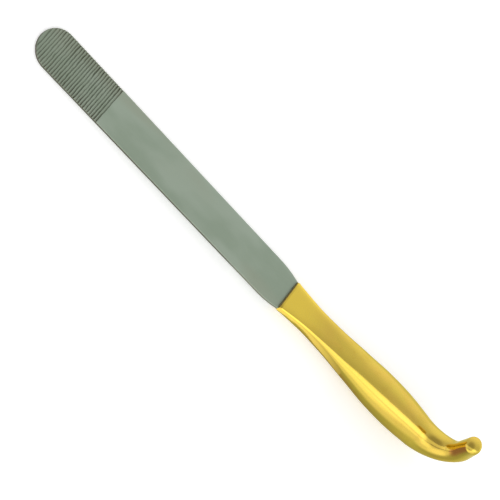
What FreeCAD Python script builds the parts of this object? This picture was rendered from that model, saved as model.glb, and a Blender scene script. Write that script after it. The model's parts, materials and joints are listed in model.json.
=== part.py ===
import FreeCAD, Part
import math
import os

# Hook-handled hand rasp: a flat steel blade with file teeth across its round tip, a hollow handle of
# two pressed brass half shells, and a solid brass pull hook at the handle's end.
#
# Everything is drawn in the tool's own frame first: x = 0 at the handle's mouth, +x towards the blade's
# tip, z = 0 at the middle of the blade's thickness, +z on the toothed side. At the end the tool is laid
# down on its tip and its belly, so that z = 0 is the surface that it rests on.
# All lengths are in millimetres.

# --- driving dimensions ---------------------------------------------------------------------------
OVERALL_REACH = 190.0      # handle mouth to the blade's tip
BLADE_THICKNESS = 2.0
TIP_WIDTH = 23.8           # width where the round tip begins
BACK_WIDTH = 23.0          # width where the shoulders begin
NECK_WIDTH = 19.4          # width at the handle's mouth
SHOULDER_LENGTH = 15.0     # length over which the sides draw in to the neck
EDGE_ROUND = 0.5           # radius on the blade's long edges

TOOTH_COUNT = 30
TOOTH_PITCH = 1.65
TOOTH_DEPTH = 0.42
TOOTH_LAND = 0.45          # flat left on top of each tooth
STEEP_FLANK = 20.0         # degrees off vertical, on the side that bites on the pull
FIRST_GROOVE = OVERALL_REACH - 1.3

TANG_LENGTH = 58.0
TANG_THICKNESS = 1.5
TANG_FRONT_WIDTH = 11.0
TANG_REAR_WIDTH = 7.0

WALL = 0.9                 # sheet thickness of the half shells
FIT = 0.05                 # braze gap round each piece that sits inside the shells
SEAM_GAP = 0.2             # width of the soldered seam between the half shells
MOUTH_GAP = 0.3            # solder between the blade's shoulders and the mouth
SOLDER_INSET = 0.35        # how far that solder stays inside the mouth's outline
HOOK_GAP = 0.2             # solder between the shells and the hook

SPINE_STRAIGHT = 106.5     # straight part of the handle's middle line
SPINE_RISE = 2.0           # how far that part climbs
BEND_RADIUS = 19.5         # radius of the hook's bend, on the middle line
BEND_ANGLE = 105.0         # degrees
HOOK_TAIL = 16.5           # from the end of the bend to the hook's end
END_ROUND = 3.2            # radius round the rim of the hook's end
SHELL_END = 104.0          # where the shells stop and the solid hook begins
SPIGOT_LENGTH = 14.0       # part of the hook that stands inside the shells

BLOCK_LENGTH = 15.0        # throat block behind the mouth
CEMENT_END = 66.0          # how far back the cement reaches
RIVET_RADIUS = 1.5
RIVET_PLACES = {"tang_rivet_front": 4.5, "tang_rivet_rear": 11.0}

# The handle's cross-section: (distance along the middle line, half width, half height, squareness).
# Squareness 2 is an ellipse, and a large one is nearly a rectangle.
HANDLE_SECTIONS = [
    (0.0, 9.6, 2.8, 7.0),
    (10.0, 8.5, 3.7, 6.4),
    (22.0, 7.8, 4.6, 5.4),
    (38.0, 8.4, 6.0, 3.5),
    (56.0, 10.1, 7.9, 2.4),
    (75.0, 11.6, 9.7, 2.1),
    (92.0, 11.5, 10.4, 2.0),
    (108.0, 9.9, 9.9, 2.0),
    (121.0, 8.0, 8.5, 2.0),
    (134.0, 5.9, 6.2, 2.0),
    (147.0, 4.95, 5.4, 2.0),
    (SPINE_STRAIGHT + BEND_RADIUS * math.radians(BEND_ANGLE) + HOOK_TAIL, 5.4, 4.5, 2.0),
]
SECTION_POINTS = 64        # points round each cross-section
SECTION_STEP = 5.0         # distance between the cross-sections of a loft

TIP_RADIUS = TIP_WIDTH / 2
SPINE_LENGTH = HANDLE_SECTIONS[-1][0]


# --- the handle's shape ---------------------------------------------------------------------------
def section_at(along):
    """Half width, half height and squareness there: a smooth curve through HANDLE_SECTIONS (Catmull-Rom)."""
    rows = HANDLE_SECTIONS
    i = max(k for k in range(len(rows) - 1) if rows[k][0] <= along + 1e-9)
    before, start, end, after = rows[max(i - 1, 0)], rows[i], rows[i + 1], rows[min(i + 2, len(rows) - 1)]
    span = end[0] - start[0]
    t = (along - start[0]) / span
    values = []
    for column in (1, 2, 3):
        slope_in = (end[column] - before[column]) / (end[0] - before[0]) * span
        slope_out = (after[column] - start[column]) / (after[0] - start[0]) * span
        values.append(
            (2 * t**3 - 3 * t**2 + 1) * start[column]
            + (t**3 - 2 * t**2 + t) * slope_in
            + (3 * t**2 - 2 * t**3) * end[column]
            + (t**3 - t**2) * slope_out
        )
    return values


def spine_at(along):
    """Point (x, z) on the handle's middle line and its climb in radians: a straight run, an arc, a tail."""
    climb = math.asin(SPINE_RISE / SPINE_STRAIGHT)
    turn = math.radians(BEND_ANGLE)
    run = min(along, SPINE_STRAIGHT)
    x, z = -run * math.cos(climb), run * math.sin(climb)
    swept = min(max(along - SPINE_STRAIGHT, 0.0) / BEND_RADIUS, turn)
    x -= BEND_RADIUS * (math.sin(climb + swept) - math.sin(climb))
    z += BEND_RADIUS * (math.cos(climb) - math.cos(climb + swept))
    tail = max(along - SPINE_STRAIGHT - BEND_RADIUS * turn, 0.0)
    climb += swept
    return x - tail * math.cos(climb), z + tail * math.sin(climb), climb


def section_wire(along, inset):
    """Closed superellipse square to the middle line, drawn inset from the outer surface."""
    half_width, half_height, squareness = section_at(along)
    x, z, climb = spine_at(along)
    points = []
    for k in range(SECTION_POINTS):
        angle = 2 * math.pi * (k + 0.5) / SECTION_POINTS
        c, s = math.cos(angle), math.sin(angle)
        size = (abs(c) ** squareness + abs(s) ** squareness) ** (-1 / squareness)
        across = (half_width - inset) * size * c
        up = (half_height - inset) * size * s
        points.append(FreeCAD.Vector(x + up * math.sin(climb), across, z + up * math.cos(climb)))
    curve = Part.BSplineCurve()
    even = [k / SECTION_POINTS for k in range(SECTION_POINTS + 1)]
    curve.interpolate(Points=points, PeriodicFlag=True, Parameters=even)
    return Part.Wire([curve.toShape()])


def handle_solid(start, end, inset=0.0):
    """Solid of the handle's outer shape, less inset all round, between two places on the middle line."""
    steps = max(2, math.ceil((end - start) / SECTION_STEP))
    wires = [section_wire(start + (end - start) * k / steps, inset) for k in range(steps + 1)]
    return Part.makeLoft(wires, True, False)


# --- helpers --------------------------------------------------------------------------------------
def half_space(side):
    """Everything on one side of the handle's middle plane, clear of the seam. side is 1 or -1."""
    low = SEAM_GAP / 2 if side > 0 else -60 - SEAM_GAP / 2
    return Part.makeBox(300, 60, 200, FreeCAD.Vector(-200, low, -100))


def flat_plate(points_and_arcs, thickness):
    """Extruded outline, centred on z = 0. Each entry is a list of 2 points (line) or 3 points (arc)."""
    edges = []
    for entry in points_and_arcs:
        p = [FreeCAD.Vector(x, y, -thickness / 2) for x, y in entry]
        edges.append(Part.Arc(*p).toShape() if len(p) == 3 else Part.makeLine(*p))
    return Part.Face(Part.Wire(edges)).extrude(FreeCAD.Vector(0, 0, thickness))


# --- the blade ------------------------------------------------------------------------------------
def blade_plate():
    """The strip's outline: round tip, nearly parallel sides, shoulders drawn in by arcs, square neck."""
    tip_x = OVERALL_REACH - TIP_RADIUS
    shoulder_x = MOUTH_GAP + SHOULDER_LENGTH
    sagitta_x = MOUTH_GAP + SHOULDER_LENGTH * 0.5
    sagitta_y = BACK_WIDTH / 2 - (BACK_WIDTH - NECK_WIDTH) / 2 * 0.25
    neck = (MOUTH_GAP, NECK_WIDTH / 2)
    shoulder = (shoulder_x, BACK_WIDTH / 2)
    bulge = (sagitta_x, sagitta_y)
    tip = (tip_x, TIP_WIDTH / 2)

    def mirrored(point):
        return point[0], -point[1]

    outline = [
        [neck, bulge, shoulder],
        [shoulder, tip],
        [tip, (OVERALL_REACH, 0.0), mirrored(tip)],
        [mirrored(tip), mirrored(shoulder)],
        [mirrored(shoulder), mirrored(bulge), mirrored(neck)],
        [mirrored(neck), neck],
    ]
    plate = flat_plate(outline, BLADE_THICKNESS)
    rounded = [
        edge
        for edge in plate.Edges
        if edge.BoundBox.ZLength < 1e-6 and edge.BoundBox.XMax > MOUTH_GAP + 1e-3
    ]
    return plate.makeFillet(EDGE_ROUND, rounded)


def tooth_groove(place):
    """One V groove right across the blade, steep towards the handle, sloping up towards the tip."""
    top = BLADE_THICKNESS / 2
    bottom = top - TOOTH_DEPTH
    clear = 1.0
    opening = TOOTH_PITCH - TOOTH_LAND
    run = TOOTH_DEPTH * math.tan(math.radians(STEEP_FLANK))
    slope = (opening - run) / TOOTH_DEPTH
    corners = [
        (place - opening, top),
        (place - opening + run, bottom),
        (place, top),
        (place + slope * clear, top + clear),
        (place - opening - clear * run / TOOTH_DEPTH, top + clear),
    ]
    points = [FreeCAD.Vector(x, -TIP_WIDTH, z) for x, z in corners]
    profile = Part.Face(Part.makePolygon(points + points[:1]))
    return profile.extrude(FreeCAD.Vector(0, 2 * TIP_WIDTH, 0))


def tang():
    """Thinner tongue behind the shoulders, tapering to a round end, with the two rivet holes."""
    front, rear = TANG_FRONT_WIDTH / 2, TANG_REAR_WIDTH / 2
    straight_end = -(TANG_LENGTH - rear)
    outline = [
        [(MOUTH_GAP, -front), (MOUTH_GAP, front)],
        [(MOUTH_GAP, front), (straight_end, rear)],
        [(straight_end, rear), (-TANG_LENGTH, 0.0), (straight_end, -rear)],
        [(straight_end, -rear), (MOUTH_GAP, -front)],
    ]
    tongue = flat_plate(outline, TANG_THICKNESS)
    for place in RIVET_PLACES.values():
        tongue = tongue.cut(upright_cylinder(place, RIVET_RADIUS))
    return tongue


def upright_cylinder(distance_back, radius, half_length=20.0):
    foot = FreeCAD.Vector(-distance_back, 0, -half_length)
    return Part.makeCylinder(radius, 2 * half_length, foot, FreeCAD.Vector(0, 0, 1))


def rasp_blade():
    grooves = [tooth_groove(FIRST_GROOVE - k * TOOTH_PITCH) for k in range(TOOTH_COUNT)]
    toothed = blade_plate()
    for groove in grooves:
        toothed = toothed.cut(groove)
    return toothed.fuse(tang()).removeSplitter()


def tang_clearance():
    """The tang grown by the braze gap, to cut its slot in the pieces round it."""
    front, rear = TANG_FRONT_WIDTH / 2 + FIT, TANG_REAR_WIDTH / 2 + FIT
    end = -(TANG_LENGTH - TANG_REAR_WIDTH / 2)
    outline = [
        [(2.0, -front), (2.0, front)],
        [(2.0, front), (end, rear)],
        [(end, rear), (-TANG_LENGTH - FIT, 0.0), (end, -rear)],
        [(end, -rear), (2.0, -front)],
    ]
    return flat_plate(outline, TANG_THICKNESS + 2 * FIT)


# --- pieces in and on the handle ------------------------------------------------------------------
def handle_shells():
    """The two pressed half shells, the seam of solder between them, top and bottom."""
    end = SHELL_END - HOOK_GAP
    tube = handle_solid(0, end).cut(handle_solid(0, end, WALL))
    seam = tube.common(Part.makeBox(300, SEAM_GAP, 200, FreeCAD.Vector(-200, -SEAM_GAP / 2, -100)))
    return {
        "handle_shell_left": tube.common(half_space(1)),
        "handle_shell_right": tube.common(half_space(-1)),
        "shell_seam_solder": seam,
    }


def hook_joint_solder():
    """Thin ring of solder between the end of the shells and the hook's shoulder."""
    ring = handle_solid(SHELL_END - HOOK_GAP, SHELL_END)
    return ring.cut(handle_solid(SHELL_END - HOOK_GAP, SHELL_END, WALL + FIT))


def pull_hook():
    """Solid forging: spigot inside the shells, bent tapering stem, rounded end."""
    spigot = handle_solid(SHELL_END - SPIGOT_LENGTH, SHELL_END, WALL + FIT)
    stem = handle_solid(SHELL_END, SPINE_LENGTH)
    x, z, _ = spine_at(SPINE_LENGTH)
    tip = FreeCAD.Vector(x, 0, z)
    rim = min(stem.Edges, key=lambda edge: edge.CenterOfMass.distanceToPoint(tip))
    return stem.makeFillet(END_ROUND, [rim]).fuse(spigot)


def throat_block():
    """Steel block that closes the mouth, slotted for the tang and drilled for its rivets."""
    block = handle_solid(0, BLOCK_LENGTH, WALL + FIT).cut(tang_clearance())
    for place in RIVET_PLACES.values():
        block = block.cut(upright_cylinder(place, RIVET_RADIUS + 0.02))
    return block


def tang_rivet(distance_back):
    """Pin through block and tang, filed flush with the block."""
    half_height = section_at(distance_back)[1] - WALL - 3 * FIT
    return upright_cylinder(distance_back, RIVET_RADIUS - 0.02, half_height)


def tang_cement():
    """Cement poured round the tang behind the block, to the shells' inner faces."""
    return handle_solid(BLOCK_LENGTH + FIT, CEMENT_END, WALL + FIT).cut(tang_clearance())


def mouth_solder():
    """Solder that fills the gap between the blade's shoulders and the mouth, set back from both."""
    slab = Part.Face(section_wire(0, SOLDER_INSET)).extrude(FreeCAD.Vector(MOUTH_GAP, 0, 0))
    beyond = Part.makeBox(40, 40, 40, FreeCAD.Vector(MOUTH_GAP, -20, -20))
    return slab.cut(beyond).cut(tang_clearance())


# --- the whole tool -------------------------------------------------------------------------------
def build_pieces():
    pieces = {
        "blade": rasp_blade(),
        "mouth_solder": mouth_solder(),
        "throat_block": throat_block(),
        "tang_cement": tang_cement(),
        "hook_joint_solder": hook_joint_solder(),
        "pull_hook": pull_hook(),
    }
    for name, place in RIVET_PLACES.items():
        pieces[name] = tang_rivet(place)
    pieces.update(handle_shells())
    return pieces


def lay_down(pieces):
    """Tips the tool until its tip and its belly both touch one plane, and puts the origin on that plane,
    under the middle of the tool. Returns the placement that did it."""
    pitch = 0.0
    belly = Part.makeCompound([pieces["handle_shell_left"], pieces["handle_shell_right"]])
    for _ in range(6):
        turn = FreeCAD.Rotation(FreeCAD.Vector(0, 1, 0), pitch)
        placed = [s.transformed(FreeCAD.Placement(FreeCAD.Vector(), turn).toMatrix(), True)
                  for s in (belly, pieces["blade"])]
        low_belly, low_tip = (s.optimalBoundingBox(False).ZMin for s in placed)
        reach = OVERALL_REACH + HANDLE_SECTIONS[6][0]
        pitch += math.degrees(math.atan((low_tip - low_belly) / reach))
    turn = FreeCAD.Rotation(FreeCAD.Vector(0, 1, 0), pitch)
    turned = Part.makeCompound(list(pieces.values())).transformed(
        FreeCAD.Placement(FreeCAD.Vector(), turn).toMatrix(), True)
    box = turned.optimalBoundingBox(False)
    shift = FreeCAD.Vector(-(box.XMin + box.XMax) / 2, 0, -box.ZMin)
    return FreeCAD.Placement(shift, turn)


def main():
    os.makedirs("parts", exist_ok=True)
    pieces = build_pieces()
    placement = lay_down(pieces)
    for name, shape in pieces.items():
        shape = shape.transformed(placement.toMatrix(), True)
        solids = shape.Solids
        if not shape.isValid() or not solids:
            raise RuntimeError(f"{name} isn't a valid solid")
        Part.makeCompound(solids).exportStep(os.path.join("parts", name + ".step"))
        print(f"{name}: {len(solids)} solid(s), {shape.Volume:.1f} mm3")
    print("laid down by", placement)


main()
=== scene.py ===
import json
import math

import bmesh
import bpy
import numpy as np
from mathutils import Matrix, Vector


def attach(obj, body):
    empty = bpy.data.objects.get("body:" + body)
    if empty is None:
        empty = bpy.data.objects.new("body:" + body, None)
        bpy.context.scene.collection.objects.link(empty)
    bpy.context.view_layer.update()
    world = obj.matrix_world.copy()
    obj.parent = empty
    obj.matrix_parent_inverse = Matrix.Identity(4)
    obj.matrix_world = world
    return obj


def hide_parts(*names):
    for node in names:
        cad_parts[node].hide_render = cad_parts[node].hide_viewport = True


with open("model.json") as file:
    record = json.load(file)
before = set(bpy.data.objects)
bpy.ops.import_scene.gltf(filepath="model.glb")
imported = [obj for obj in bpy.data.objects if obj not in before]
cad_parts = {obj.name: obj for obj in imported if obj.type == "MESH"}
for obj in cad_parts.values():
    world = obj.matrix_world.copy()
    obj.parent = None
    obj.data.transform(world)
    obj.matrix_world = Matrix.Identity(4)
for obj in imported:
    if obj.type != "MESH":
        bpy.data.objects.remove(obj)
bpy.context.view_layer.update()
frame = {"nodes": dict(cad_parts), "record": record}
nodes = frame["nodes"]


# ==== How the tool lies =============================================================================
# The tool is drawn straight: x from the handle's mouth to the blade's tip, y across, z up from the
# middle of the blade's thickness, in millimetres. It rests on its tip and its belly, so it is tilted.

MM = 0.001
BACK_FACE = frame["record"]["mounts"][0]          # the flat back of the blade
BACK_SPOT = (90.0, -1.0)                          # x and z of that mount, on the straight tool
tilt = math.atan2(-BACK_FACE["axis"][0], -BACK_FACE["axis"][2])


def laid(points):
    """Straight tool, in mm, to the tool as it lies, in metres: a turn by the tilt about y, about the
    mount on the blade's back, which stays where the frame has it."""
    points = np.asarray(points, float)
    x, z = points[..., 0] - BACK_SPOT[0], points[..., 2] - BACK_SPOT[1]
    turned = np.stack([
        x * math.cos(tilt) + z * math.sin(tilt),
        points[..., 1],
        z * math.cos(tilt) - x * math.sin(tilt),
    ], axis=-1)
    return turned * MM + np.array(BACK_FACE["pos_m"])


# ==== Blade =========================================================================================
# One strip of steel, ground flat and blasted to a satin grey, 2 mm thick, with a full round tip. File
# teeth are cut straight across its last 50 mm with a chisel, one stroke each, so no two are quite
# alike. Behind the shoulders it steps down to a thinner tang that stands inside the handle.

BLADE_LENGTH = 190.0
BLADE_TOP = 1.0
TIP_RADIUS = 11.9
BACK_HALF = 11.5
NECK_HALF = 9.7
SHOULDER = 15.0
MOUTH_GAP = 0.3
EDGE = 0.5                # radius on the long edges
CROWN = 0.07              # how much lower the top is at its edges than along its middle
TEETH = 30
PITCH = 1.65
TOOTH_LAND = 0.45
TOOTH_DEPTH = 0.42
LAST_TOOTH = 188.7
TIP_CENTRE = BLADE_LENGTH - TIP_RADIUS
ACROSS = 75               # points across the top

# One tooth, from its steep wall up its long slope to the land: part of the pitch, part of the depth.
TOOTH_SHAPE = np.array([
    (0.000, -0.06), (0.030, 0.10), (0.060, 0.62), (0.095, 0.96), (0.140, 1.00), (0.220, 0.90),
    (0.360, 0.67), (0.500, 0.43), (0.620, 0.22), (0.690, 0.08), (0.740, 0.00), (0.860, -0.02),
])


def blade_half_width(x):
    """Half width of the strip: at the shoulder a parabola that ends level with the side, then a side
    that widens a little on a straight line."""
    u = np.clip((x - MOUTH_GAP) / SHOULDER, 0, 1)
    side = np.interp(x, [MOUTH_GAP + SHOULDER, TIP_CENTRE], [BACK_HALF, TIP_RADIUS])
    return side - (BACK_HALF - NECK_HALF) * (1 - u) ** 2


def strip_outline(x, half_width, centre, radius, edge):
    """The outline drawn in by the edge radius: half width at x, and the outward normal there. Up to
    centre it is half_width less the edge, and past it a circle of radius less the edge."""
    round_part = x > centre
    inner = radius - edge
    reach = np.clip((x - centre) / inner, 0, 1)
    half = np.where(round_part, inner * np.sqrt(1 - reach**2), half_width - edge)
    slope = np.where(round_part, 0.0, np.gradient(half_width, x))
    length = np.hypot(slope, 1)
    normal_x = np.where(round_part, reach, -slope / length)
    normal_y = np.where(round_part, np.sqrt(1 - reach**2), 1 / length)
    return half, normal_x, normal_y


def strip_rows(x, outline, top, bottom, edge, across):
    """Cross-sections of a strip, one closed loop per x. The top goes from -y to +y, then each side is
    two quarter rounds, which step outwards along the outline's normal, and the bottom comes back."""
    half, normal_x, normal_y = (value[:, None] for value in outline)
    x = x[:, None]
    quarter = np.radians([25, 50, 72, 90])[None, :]
    out, drop = edge * np.sin(quarter), edge * (1 - np.cos(quarter))
    share = np.linspace(-1, 1, across)[None, :]
    below = np.linspace(1, -1, 13)[None, :]
    zero = 0 * x

    def side(sign, steps_out, height):
        return np.stack([x + normal_x * steps_out, sign * (half + normal_y * steps_out),
                         height + zero], axis=-1)

    upper = np.stack([x + 0 * share, half * share, top(x, half * share)], axis=-1)
    lower = np.stack([x + 0 * below, half * below, bottom + 0 * half * below], axis=-1)
    rim_right = top(x, -half) - drop
    rim_left = top(x, half) - drop
    return np.concatenate([
        upper,
        side(1, out, rim_left),
        side(1, out[:, ::-1], bottom + drop[:, ::-1]),
        lower,
        side(-1, out, bottom + drop),
        side(-1, out[:, ::-1], rim_right[:, ::-1]),
    ], axis=1)


def capped(rows, pole):
    """The rows with a first one gathered into a single point, which closes that end."""
    return np.concatenate([np.broadcast_to(np.array(pole, float), rows[:1].shape), rows])


rng = np.random.default_rng(11)
tooth_start = LAST_TOOTH - (PITCH - TOOTH_LAND) - PITCH * np.arange(TEETH)[::-1]
cut_x = (tooth_start[:, None] + PITCH * TOOTH_SHAPE[None, :, 0]).ravel()
cut_depth = np.tile(TOOTH_SHAPE[:, 1], TEETH) * TOOTH_DEPTH
cut_depth[-1] = 0.0
round_x = TIP_CENTRE + (TIP_RADIUS - EDGE) * np.sin(np.radians(np.arange(2, 91, 3.0)))
round_x = round_x[np.min(np.abs(round_x[:, None] - cut_x[None, :]), axis=1) > 0.03]
blade_x = np.unique(np.concatenate([
    np.linspace(MOUTH_GAP, MOUTH_GAP + SHOULDER, 24),
    np.linspace(MOUTH_GAP + SHOULDER, tooth_start[0] - 0.4, 90),
    cut_x, round_x, [TIP_CENTRE + TIP_RADIUS - EDGE],
]))
blade_x = blade_x[blade_x <= TIP_CENTRE + TIP_RADIUS - EDGE + 1e-9]

# Each stroke's own depth, and how it wanders along the blade as it crosses it.
stroke = np.clip(((blade_x - tooth_start[0]) / PITCH).astype(int), 0, TEETH - 1)
stroke_depth = 1 + 0.10 * rng.standard_normal(TEETH)
stroke_tilt = 0.05 * rng.standard_normal(TEETH)
wander_size = 0.045 * rng.standard_normal((TEETH, 3))
wander_phase = rng.uniform(0, 2 * np.pi, (TEETH, 3))
WANDER_WAVES = np.array([0.23, 0.61, 1.45])       # radians per mm


def stroke_noise(y):
    """For each column of the blade, a sum of three slow waves across it, of that stroke's own sizes."""
    waves = np.sin(y[..., None] * WANDER_WAVES + wander_phase[stroke][:, None, :])
    return (waves * wander_size[stroke][:, None, :]).sum(axis=-1)


def blade_cut(y):
    """Depth of the teeth under the top: the tooth's shape times that stroke's depth and its tilt."""
    depth = np.interp(blade_x, cut_x, cut_depth, left=0, right=0)[:, None]
    lean = stroke_tilt[stroke][:, None] * y / TIP_RADIUS
    return depth * (stroke_depth[stroke][:, None] + lean + 1.2 * stroke_noise(y))


def blade_top(x, y):
    """Crowned ground top, lower towards the edges by the fourth power of y, less the teeth."""
    ground = BLADE_TOP - CROWN * (y / BACK_HALF) ** 4
    return ground - blade_cut(y + 0 * x)


blade_outline = strip_outline(blade_x, blade_half_width(blade_x), TIP_CENTRE, TIP_RADIUS, EDGE)
blade_rows = strip_rows(blade_x, blade_outline, blade_top, -BLADE_TOP, EDGE, ACROSS)
toothed = ((blade_x > tooth_start[0] - 0.01) & (blade_x < LAST_TOOTH + 0.01))[:, None]
in_cut = np.clip(blade_cut(blade_rows[..., 1]), 0, None) * (blade_rows[..., 2] > 0)
blade_rows[..., 2] = np.where(
    blade_rows[..., 2] > 0, np.minimum(blade_rows[..., 2], BLADE_TOP - in_cut), blade_rows[..., 2])
blade_rows[..., 0] += np.where(toothed, stroke_noise(blade_rows[..., 1]), 0)

# Dirt and painted shade: darker down in the teeth and out towards the edges, which is painted shade in the
# grooves with dirt, a film of dirt over the toothed part, and painted shade on the two ground sides, whose
# points lie on either side of the bottom in each loop.
blade_dirt_and_shade = in_cut / TOOTH_DEPTH * (0.26 + 0.58 * (blade_rows[..., 1] / TIP_RADIUS) ** 2)
blade_dirt_and_shade = np.clip(blade_dirt_and_shade + np.where(blade_x > tooth_start[0], 0.20, 0)[:, None], 0, 1)
# Painted shade: the two ground sides are darkened as if they stood in shade.
for ground_side in (slice(ACROSS + 1, ACROSS + 7), slice(ACROSS + 22, ACROSS + 28)):
    blade_dirt_and_shade[:, ground_side] = 0.85
blade_rows = capped(blade_rows, (MOUTH_GAP, 0, 0))
blade_dirt_and_shade = np.concatenate([blade_dirt_and_shade[:1], blade_dirt_and_shade])

TANG_LENGTH = 58.0
TANG_HALVES = (5.5, 3.5)
TANG_TOP = 0.75
TANG_SUNK = 1.5           # how far the tang's own mesh reaches into the strip

tang_x = np.concatenate([
    np.linspace(-MOUTH_GAP - TANG_SUNK, TANG_LENGTH - TANG_HALVES[1], 30),
    TANG_LENGTH - TANG_HALVES[1] + (TANG_HALVES[1] - 0.1) * np.sin(np.radians(np.arange(6, 91, 6.0))),
])
tang_half = np.interp(tang_x, [-MOUTH_GAP, TANG_LENGTH - TANG_HALVES[1]], TANG_HALVES)
tang_outline = strip_outline(tang_x, tang_half, TANG_LENGTH - TANG_HALVES[1], TANG_HALVES[1], 0.1)
tang_rows = strip_rows(tang_x, tang_outline, lambda x, y: TANG_TOP + 0 * x * y, -TANG_TOP, 0.1, 13)
tang_rows = capped(tang_rows, (-MOUTH_GAP - TANG_SUNK, 0, 0)) * np.array([-1, 1, 1])


def closed_piece(name, material, replaced, grids, marks=None, sharp=35):
    """A piece made of one or more closed skins. Each grid is rows of loops, and each loop's last point
    is joined to its first. Points that fall together at a pole or a rim become one."""
    points, faces, total = [], [], 0
    for grid in grids:
        rows, columns = grid.shape[:2]
        index = total + np.arange(rows * columns).reshape(rows, columns)
        after = np.roll(index, -1, axis=1)
        faces.append(np.stack([index[:-1], after[:-1], after[1:], index[1:]], axis=-1).reshape(-1, 4))
        points.append(laid(grid).reshape(-1, 3))
        total += rows * columns
    mesh = bpy.data.meshes.new(name)
    mesh.from_pydata(np.concatenate(points).tolist(), [], np.concatenate(faces).tolist())
    for mark, values in (marks or {}).items():
        layer = mesh.attributes.new(mark, "FLOAT", "POINT")
        padded = np.zeros(total, np.float32)
        padded[:values.size] = values.ravel()
        layer.data.foreach_set("value", padded)
    work = bmesh.new()
    work.from_mesh(mesh)
    bmesh.ops.remove_doubles(work, verts=work.verts, dist=1e-7)
    bmesh.ops.dissolve_degenerate(work, edges=work.edges, dist=1e-8)
    bmesh.ops.recalc_face_normals(work, faces=work.faces)
    work.to_mesh(mesh)
    work.free()
    mesh.shade_smooth()
    mesh.set_sharp_from_angle(angle=math.radians(sharp))
    mesh.materials.append(material)
    piece = bpy.data.objects.new(name, mesh)
    bpy.context.scene.collection.objects.link(piece)
    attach(piece, "root")
    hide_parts(*replaced)
    return piece


class Wire:
    """A node's output socket. Arithmetic on wires and numbers adds Math nodes."""

    def __init__(self, finish, socket):
        self.finish = finish
        self.socket = socket

    def maths(self, operation, *values):
        return self.finish.node("ShaderNodeMath", {"operation": operation}, dict(enumerate(values)))

    def __add__(self, other):
        return self.maths("ADD", self, other)

    def __sub__(self, other):
        return self.maths("SUBTRACT", self, other)

    def __rsub__(self, other):
        return self.maths("SUBTRACT", other, self)

    def __mul__(self, other):
        return self.maths("MULTIPLY", self, other)

    __radd__ = __add__
    __rmul__ = __mul__

    def within(self, low, high):
        """0 up to low, 1 from high on, and a smooth rise between them."""
        settings = {"interpolation_type": "SMOOTHSTEP"}
        return self.finish.node("ShaderNodeMapRange", settings, {0: self, 1: low, 2: high})


class Finish:
    """A material, or the world, built up as a tree of nodes."""

    def __init__(self, owner):
        self.owner = owner
        owner.use_nodes = True
        self.tree = owner.node_tree
        self.tree.nodes.clear()

    def node(self, kind, settings=None, inputs=None, output=0):
        made = self.tree.nodes.new(kind)
        for name, value in (settings or {}).items():
            setattr(made, name, value)
        for name, value in (inputs or {}).items():
            if isinstance(value, Wire):
                self.tree.links.new(value.socket, made.inputs[name])
            else:
                made.inputs[name].default_value = value
        return Wire(self, made.outputs[output]) if len(made.outputs) else None

    def mix(self, factor, first, second):
        inputs = {0: factor, 6: first, 7: second}
        return self.node("ShaderNodeMix", {"data_type": "RGBA"}, inputs, output=2)

    def place(self, scale=(1, 1, 1), offset=(0, 0, 0)):
        """Object coordinates in millimetres, stretched by scale."""
        spot = self.node("ShaderNodeTexCoord", output="Object")
        scaled = tuple(1000 * s for s in scale)
        return self.node("ShaderNodeMapping", {}, {"Vector": spot, "Location": offset, "Scale": scaled})

    def along(self):
        """Millimetres along the tool, from its middle towards the tip."""
        return self.node("ShaderNodeSeparateXYZ", {}, {"Vector": self.place()})

    def noise(self, where, scale, detail=3.0, roughness=0.5):
        return self.node("ShaderNodeTexNoise", {}, {
            "Vector": where, "Scale": scale, "Detail": detail, "Roughness": roughness})

    def mark(self, name):
        """A value kept on the piece's own points."""
        return self.node("ShaderNodeAttribute", {"attribute_name": name}, output="Fac")

    def bump(self, height, distance, strength=1.0, normal=None):
        inputs = {"Height": height, "Distance": distance, "Strength": strength}
        if normal is not None:
            inputs["Normal"] = normal
        return self.node("ShaderNodeBump", {}, inputs)

    def surface(self, **sockets):
        shader = self.node("ShaderNodeBsdfPrincipled", {}, sockets)
        self.node("ShaderNodeOutputMaterial", {}, {"Surface": shader})
        return self.owner


def shader_inputs(**named):
    """Principled's sockets have spaces in their names: base_color becomes Base Color."""
    return {name.replace("_", " ").title(): value for name, value in named.items()}


def satin_steel():
    """Blasted steel: a grey with a green cast, cloudy where it has been handled, a fine grain along its
    length, and darker and duller where the blade's cut mark carries dirt and painted shade."""
    finish = Finish(bpy.data.materials.new("satin_steel"))
    clouds = finish.noise(finish.place((0.028, 0.07, 0.07)), 1.0, 2.0, 0.45)
    warm = finish.noise(finish.place((0.016, 0.05, 0.05), (7.3, 2.1, 0)), 1.0, 1.0)
    grain = finish.noise(finish.place((0.35, 6.0, 6.0)), 1.0, 4.0, 0.6)
    blast = finish.noise(finish.place(), 5.5, 2.0, 0.6)
    cut = finish.mark("cut")
    colour = finish.mix(clouds.within(0.40, 0.66), (0.335, 0.412, 0.318, 1), (0.398, 0.474, 0.382, 1))
    colour = finish.mix(warm.within(0.52, 0.72) * 0.7, colour, (0.370, 0.412, 0.316, 1))
    colour = finish.mix(grain.within(0.35, 0.75) * 0.16, colour, (0.49, 0.54, 0.465, 1))
    # Painted shade with dirt: the cut mark darkens the grooves of the teeth and the ground sides.
    colour = finish.mix(cut * 0.95, colour, (0.185, 0.180, 0.138, 1))
    rough = 0.40 + 0.10 * (clouds - 0.5) + 0.10 * (grain - 0.5) + 0.12 * cut
    fine = finish.bump(grain, 0.00002, 0.5)
    fine = finish.bump(blast, 0.00003, 0.5, fine)
    return finish.surface(**shader_inputs(
        base_color=colour, metallic=1.0, roughness=rough, normal=fine))


blade = closed_piece("satin_blade", satin_steel(), ["blade"],
                     [blade_rows, tang_rows], {"cut": blade_dirt_and_shade})


# ==== Solder at the mouth ===========================================================================
# Hard solder fills the narrow gap between the blade's shoulders and the handle's mouth. It sits a
# little below both and has gone dark brown with tarnish and polishing dirt.

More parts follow.
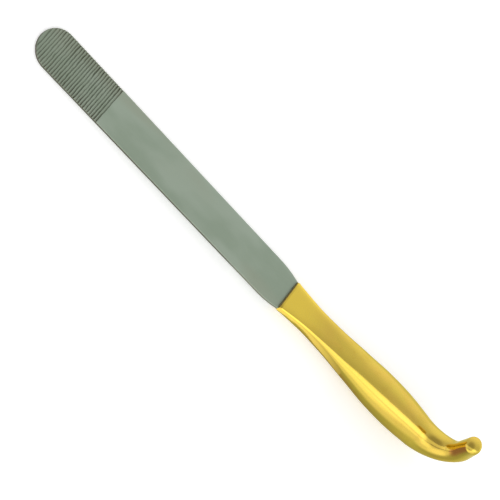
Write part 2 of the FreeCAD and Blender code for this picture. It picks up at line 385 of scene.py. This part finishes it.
def dark_solder():
    finish = Finish(bpy.data.materials.new("dark_solder"))
    spots = finish.noise(finish.place(), 1.6, 3.0, 0.6)
    colour = finish.mix(spots.within(0.35, 0.7), (0.20, 0.140, 0.035, 1), (0.40, 0.290, 0.09, 1))
    return finish.surface(**shader_inputs(
        base_color=colour, metallic=0.3, roughness=0.5 + 0.3 * spots,
        normal=finish.bump(spots, 0.0002)))


def refinish(node, material):
    """Gives a node that keeps its own shape a new material."""
    for place in nodes[node].material_slots:
        place.material = material


refinish("mouth_solder", dark_solder())


# ==== Handle shells =================================================================================
# Two half shells are pressed from brass sheet, soldered edge to edge along the top and the bottom,
# polished as one and gold plated. At the mouth they are a flat rectangle with a small bevel; behind
# it they waist in, then swell to a round belly.

STRAIGHT = 106.5
RISE = 2.0
BEND_RADIUS = 19.5
BEND_ANGLE = math.radians(105)
TAIL = 16.5
WALL = 0.9
SEAM = 0.2
SHELL_END = 104.0
HOOK_GAP = 0.2
BEVEL_WIDTH = 0.9
BEVEL_DROP = 0.28
MIDDLE_LINE = STRAIGHT + BEND_RADIUS * BEND_ANGLE + TAIL

# Along the middle line, half width, half height, squareness (2 is an ellipse).
SECTIONS = np.array([
    (0.0, 9.6, 2.8, 7.0), (10.0, 8.5, 3.7, 6.4), (22.0, 7.8, 4.6, 5.4), (38.0, 8.4, 6.0, 3.5),
    (56.0, 10.1, 7.9, 2.4), (75.0, 11.6, 9.7, 2.1), (92.0, 11.5, 10.4, 2.0), (108.0, 9.9, 9.9, 2.0),
    (121.0, 8.0, 8.5, 2.0), (134.0, 5.9, 6.2, 2.0), (147.0, 4.95, 5.4, 2.0),
    (MIDDLE_LINE, 5.4, 4.5, 2.0),
])


def section_at(along):
    """Half width, half height and squareness: a Catmull-Rom curve through SECTIONS."""
    last = len(SECTIONS) - 1
    i = np.clip(np.searchsorted(SECTIONS[:, 0], along, side="right") - 1, 0, last - 1)
    before, start = SECTIONS[np.maximum(i - 1, 0)], SECTIONS[i]
    end, after = SECTIONS[i + 1], SECTIONS[np.minimum(i + 2, last)]
    span = end[..., :1] - start[..., :1]
    t = (along[..., None] - start[..., :1]) / span
    slope_in = (end - before)[..., 1:] / (end - before)[..., :1] * span
    slope_out = (after - start)[..., 1:] / (after - start)[..., :1] * span
    values = ((2 * t**3 - 3 * t**2 + 1) * start[..., 1:] + (t**3 - 2 * t**2 + t) * slope_in
              + (3 * t**2 - 2 * t**3) * end[..., 1:] + (t**3 - t**2) * slope_out)
    return values[..., 0], values[..., 1], values[..., 2]


def middle_line(along):
    """x, z and climb of the handle's middle line: a straight run, an arc, and a straight tail."""
    climb = math.asin(RISE / STRAIGHT)
    run = np.minimum(along, STRAIGHT)
    swept = np.clip((along - STRAIGHT) / BEND_RADIUS, 0, BEND_ANGLE)
    tail = np.maximum(along - STRAIGHT - BEND_RADIUS * BEND_ANGLE, 0)
    x = -run * math.cos(climb) - BEND_RADIUS * (np.sin(climb + swept) - math.sin(climb))
    z = run * math.sin(climb) + BEND_RADIUS * (math.cos(climb) - np.cos(climb + swept))
    return x - tail * np.cos(climb + swept), z + tail * np.sin(climb + swept), climb + swept


def ripple(along, angle):
    """Slow unevenness that hand polishing leaves: three waves, a few hundredths of a millimetre."""
    return (0.012 * np.sin(along * 0.31 + 2 * angle) + 0.010 * np.sin(along * 0.17 - 3 * angle + 1.0)
            + 0.006 * np.sin(along * 0.71 + 5 * angle + 2.0))


def handle_skin(along, angle, inset):
    """Superellipse square to the middle line: at each angle the point's width and height are the cosine
    and sine over (cos^n + sin^n)^(1/n), times the half width and half height less the inset."""
    along, angle, inset = np.broadcast_arrays(np.asarray(along, float), angle, inset)
    half_width, half_height, n = section_at(along)
    c, s = np.cos(angle), np.sin(angle)
    size = (np.abs(c) ** n + np.abs(s) ** n) ** (-1 / n)
    across = (half_width - inset) * size * c
    up = (half_height - inset) * size * s
    x, z, climb = middle_line(along)
    return np.stack([x + up * np.sin(climb), across, z + up * np.cos(climb)], axis=-1)


def outer_inset(along, angle):
    """How far the outside is inside the section: the bevel at the mouth, and the ripple."""
    bevel = BEVEL_DROP * np.clip(1 - along / BEVEL_WIDTH, 0, 1)
    fade = np.clip(along / 6, 0, 1) * np.clip((MIDDLE_LINE - along) / 6, 0, 1)
    return bevel + fade * (0.02 - ripple(along, angle))


def shell_rows(start, end, low, high, columns, steps):
    """A wall between two angles: each loop is the outside from low to high and the inside back. low and
    high are angles along the rows. Both ends are drawn together at the middle of the wall."""
    near_mouth = [0, 0.3, 0.6, BEVEL_WIDTH, 1.3] if start == 0 else [start]
    along = np.concatenate([near_mouth, np.linspace(near_mouth[-1], end, steps)[1:]])[:, None]
    share = np.linspace(0, 1, columns)[None, :]
    angle = low(along) + (high(along) - low(along)) * share
    outside = handle_skin(along, angle, outer_inset(along, angle))
    inside = handle_skin(along, angle, WALL)
    ends = handle_skin(along, angle, WALL / 2 + BEVEL_DROP / 2)
    rows = np.concatenate([outside, inside[:, ::-1]], axis=1)
    middles = np.concatenate([ends, ends[:, ::-1]], axis=1)
    return np.concatenate([middles[:1], rows, middles[-1:]])


def seam_angle(along):
    """Half the seam's width, as an angle at the top or bottom of the section."""
    return np.arcsin(SEAM / 2 / section_at(along)[0])


def gold_plate():
    """Polished gold plate under a thin lacquer: reddish and greenish drifts in the plating, fine
    polishing lines along the handle, a faint haze, and painted light: a paler, brighter gold towards the
    mouth that lightens the flat front."""
    finish = Finish(bpy.data.materials.new("gold_plate"))
    drift = finish.noise(finish.place((0.045, 0.10, 0.10)), 1.0, 2.0, 0.5)
    blotch = finish.noise(finish.place((0.16, 0.22, 0.22), (3, 1, 4)), 1.0, 3.0, 0.55)
    lines = finish.noise(finish.place((0.10, 5.0, 5.0)), 1.0, 4.0, 0.65)
    haze = finish.noise(finish.place((0.5, 0.9, 0.9)), 1.0, 3.0, 0.6)
    colour = finish.mix(drift.within(0.35, 0.65), (0.755, 0.560, 0.080, 1), (0.785, 0.545, 0.086, 1))
    colour = finish.mix(blotch.within(0.50, 0.78) * 0.35, colour, (0.66, 0.43, 0.05, 1))
    colour = finish.mix(lines.within(0.45, 0.80) * 0.10, colour, (0.60, 0.47, 0.05, 1))
    # Painted light: the gold is paler and brighter towards the mouth, to lighten the flat front.
    colour = finish.mix(finish.along().within(-62, -38) * 0.9, colour, (0.96, 0.705, 0.090, 1))
    rough = 0.13 + 0.05 * haze.within(0.4, 0.8) + 0.05 * (lines - 0.5)
    polish = finish.bump(lines, 0.000004, 0.6)
    return finish.surface(**shader_inputs(
        base_color=colour, metallic=1.0, roughness=rough, normal=polish,
        specular_tint=(1.0, 0.88, 0.50, 1), coat_weight=0.3, coat_roughness=0.06))


gold = gold_plate()
TOP, BOTTOM = math.pi / 2, -math.pi / 2
shell_stop = SHELL_END - HOOK_GAP
sides = {
    "left": (lambda t: BOTTOM + seam_angle(t), lambda t: TOP - seam_angle(t)),
    "right": (lambda t: TOP + seam_angle(t), lambda t: 3 * math.pi / 2 - seam_angle(t)),
}
for side_name, (low, high) in sides.items():
    rows = shell_rows(0.0, shell_stop, low, high, 121, 240)
    closed_piece("gold_shell_" + side_name, gold, ["handle_shell_" + side_name], [rows])


# ==== Seams and the pull hook =======================================================================
# The solder in the seams and at the hook's shoulder is filed flush and plated over with the rest, so
# it can't be told from the shells. The hook is solid: a spigot inside the shells, then a stem that
# bends up, tapers, and ends in a smooth dome.

SPIGOT = 14.0
SPIGOT_INSET = 0.95
END_ROUND = 3.2

seams = [
    shell_rows(0.0, shell_stop, lambda t: middle - seam_angle(t), lambda t: middle + seam_angle(t), 4, 240)
    for middle in (TOP, BOTTOM)
]
closed_piece("gold_seam", gold, ["shell_seam_solder"], seams)

ROUND = np.linspace(0, 2 * np.pi, 180, endpoint=False)[None, :]
ring_along = np.array([shell_stop, SHELL_END, SHELL_END, shell_stop, shell_stop])[:, None]
ring_inset = np.where(np.array([1, 1, 0, 0, 1])[:, None] > 0, outer_inset(ring_along, ROUND), SPIGOT_INSET)
closed_piece("gold_joint", gold, ["hook_joint_solder"],
             [handle_skin(ring_along, ROUND, ring_inset)])


def pole(along):
    """A row gathered on the middle line."""
    x, _, z = handle_skin(np.array([[along]]), 0.0, section_at(np.array([[along]]))[0])[0, 0]
    return np.broadcast_to(np.array([x, 0.0, z]), (1, ROUND.size, 3))


stem_along = np.linspace(SHELL_END, MIDDLE_LINE - END_ROUND, 150)[:, None]

# The dome is a quarter of an ellipsoid: its loops shrink onto the middle line by the cosine.
dome_angle = np.radians(np.arange(6, 91, 6.0))[:, None]
dome_along = MIDDLE_LINE - END_ROUND + END_ROUND * np.sin(dome_angle)
dome_x, dome_z, _ = middle_line(dome_along)
dome_centre = np.stack([dome_x, 0 * dome_x, dome_z], axis=-1)
dome_skin = handle_skin(dome_along, ROUND, 0.0)
hook_rows = np.concatenate([
    pole(SHELL_END - SPIGOT),
    handle_skin(np.array([[SHELL_END - SPIGOT], [SHELL_END]]), ROUND, SPIGOT_INSET),
    handle_skin(stem_along, ROUND, outer_inset(stem_along, ROUND)),
    dome_centre + (dome_skin - dome_centre) * np.cos(dome_angle)[..., None],
])
closed_piece("gold_hook", gold, ["pull_hook"], [hook_rows])


# ==== Inside the handle =============================================================================
# A slotted steel block closes the mouth, two steel pins hold the tang in it, and grey cement is
# poured in behind. None of it shows, and all of it keeps the shape it has.

def turned_steel():
    """Filed and turned steel, a little oily."""
    finish = Finish(bpy.data.materials.new("turned_steel"))
    marks = finish.noise(finish.place((0.6, 0.6, 7.0)), 1.0, 3.0, 0.6)
    colour = finish.mix(marks, (0.42, 0.42, 0.41, 1), (0.58, 0.58, 0.57, 1))
    return finish.surface(**shader_inputs(
        base_color=colour, metallic=1.0, roughness=0.30 + 0.2 * marks,
        normal=finish.bump(marks, 0.00003)))


def poured_cement():
    """Grey-brown cement with small voids."""
    finish = Finish(bpy.data.materials.new("poured_cement"))
    sand = finish.noise(finish.place(), 3.0, 5.0, 0.7)
    patches = finish.noise(finish.place(), 0.3, 2.0)
    colour = finish.mix(sand, (0.19, 0.17, 0.14, 1), (0.42, 0.39, 0.34, 1))
    colour = finish.mix(patches * 0.4, colour, (0.30, 0.26, 0.20, 1))
    return finish.surface(**shader_inputs(
        base_color=colour, roughness=0.85 + 0.1 * sand, normal=finish.bump(sand, 0.0003)))


steel = turned_steel()
for node in ("throat_block", "tang_rivet_front", "tang_rivet_rear"):
    refinish(node, steel)
refinish("tang_cement", poured_cement())


# ==== Floor, light and camera =======================================================================
# A white paper floor under a large soft tent. Polished gold shows nothing but what it reflects, so the
# tent is drawn in panels. A glowing card lies beside the neck, where only reflections can see it.

FLOOR_HALF = 2.0
CARD_X = (-0.084, 0.004)
CARD_Y = (0.011, 0.090)
CARD_LIFT = 0.0005


def stage_sheet(name, x, y, z):
    """A flat rectangle facing up, and its material, still to be built."""
    corners = [(x[0], y[0], z), (x[1], y[0], z), (x[1], y[1], z), (x[0], y[1], z)]
    mesh = bpy.data.meshes.new(name)
    mesh.from_pydata(corners, [], [(0, 1, 2, 3)])
    sheet = bpy.data.objects.new(name, mesh)
    bpy.context.scene.collection.objects.link(sheet)
    finish = Finish(bpy.data.materials.new(name))
    mesh.materials.append(finish.owner)
    return sheet, finish


floor, paper = stage_sheet("floor", (-FLOOR_HALF, FLOOR_HALF), (-FLOOR_HALF, FLOOR_HALF), 0)
floor.visible_glossy = False
fibres = paper.noise(paper.place(), 2.0, 3.0)
paper.surface(**shader_inputs(
    base_color=paper.mix(fibres, (0.86, 0.86, 0.86, 1), (0.88, 0.88, 0.88, 1)), roughness=0.9,
    emission_color=(1, 1, 1, 1), emission_strength=0.40))

card, glow = stage_sheet("card", CARD_X, CARD_Y, CARD_LIFT)
card.visible_camera = card.visible_diffuse = card.visible_shadow = False
near_mouth = glow.along().within(-88, -60)
glow.surface(**shader_inputs(
    base_color=(0.0, 0.0, 0.0, 1), roughness=1.0, emission_strength=1.0,
    emission_color=glow.mix(near_mouth, (0.52, 0.52, 0.52, 1), (1.05, 1.05, 1.05, 1))))

world = bpy.data.worlds.new("tent")
bpy.context.scene.world = world
tent = Finish(world)
toward = tent.node("ShaderNodeTexCoord", output="Generated")


def facing(*direction):
    """Cosine of the angle between the direction looked in and the one given."""
    unit = tuple(Vector(direction).normalized())
    settings = {"operation": "DOT_PRODUCT"}
    return tent.node("ShaderNodeVectorMath", settings, {0: toward, 1: unit}, output="Value")


# Above the floor. The left wall starts at a crisp edge, has a seam a little way down, and carries the
# brightest panel. The side that the camera looks in from is darker.
left = facing(-0.25, 0.95, -0.17)
left_wall = left.within(0.00, 0.07)
wall_seam = left.within(0.40, 0.46) * (1 - left.within(0.48, 0.56))
panel = left_wall * facing(-0.42, 0.4226, 0.9063).within(0.88, 1.0)
low_panel = facing(0.22, 0.97, -0.05).within(0.88, 0.99)
side_panel = facing(-0.05, 0.80, 0.60).within(0.90, 0.99)
right_wall = facing(0, -1, 0.035).within(0.20, 1.10)
camera_side = facing(0.62, 0.30, 0.80).within(0.55, 0.95)
overhead = 0.64 + 0.48 * left_wall + 0.62 * panel + 0.42 * right_wall - 0.28 * camera_side
overhead = overhead + 0.30 * low_panel + 0.40 * side_panel
overhead = overhead - 0.50 * wall_seam - 0.12 * left.within(0.40, 0.46)

# Below it, where only reflections reach: dim, a little green, with a brown patch straight down.
lower_left = facing(0, 1, 0).within(0.30, 0.90)
lower_right = facing(0, -1, 0).within(-0.10, 0.60)
lower_back = facing(-1, 0, 0).within(0.40, 0.75)
underside = 0.42 + 0.12 * lower_left + 0.36 * lower_right + 0.32 * lower_back
below = facing(-1, 0, -1).within(0.18, 0.55)
bench = facing(0.20, 0.30, -0.93).within(0.78, 0.97)
tint = tent.mix(below, (1.0, 1.0, 1.0, 1), (0.93, 1.0, 0.80, 1))
tint = tent.mix(bench, tint, (0.74, 0.46, 0.62, 1))
background = tent.node("ShaderNodeBackground", {}, {
    "Color": tint, "Strength": overhead * (1 - below) + underside * below})
tent.node("ShaderNodeOutputWorld", {}, {"Surface": background})

EYE = Vector((0.3255, 0.3996, 0.8271))
TARGET = Vector((0.0028, -0.0024, 0.0054))
ROLL = math.radians(81.71)
LENS = 133.0

camera = bpy.data.objects.new("camera", bpy.data.cameras.new("camera"))
bpy.context.scene.collection.objects.link(camera)
level = (TARGET - EYE).to_track_quat("-Z", "Y").to_matrix().to_4x4()
camera.matrix_world = Matrix.Translation(EYE) @ level @ Matrix.Rotation(ROLL, 4, "Z")
camera.data.lens = LENS
camera.data.sensor_width = 36.0
camera.data.clip_start = 0.05
bpy.context.scene.camera = camera
bpy.context.scene.view_settings.view_transform = "Standard"
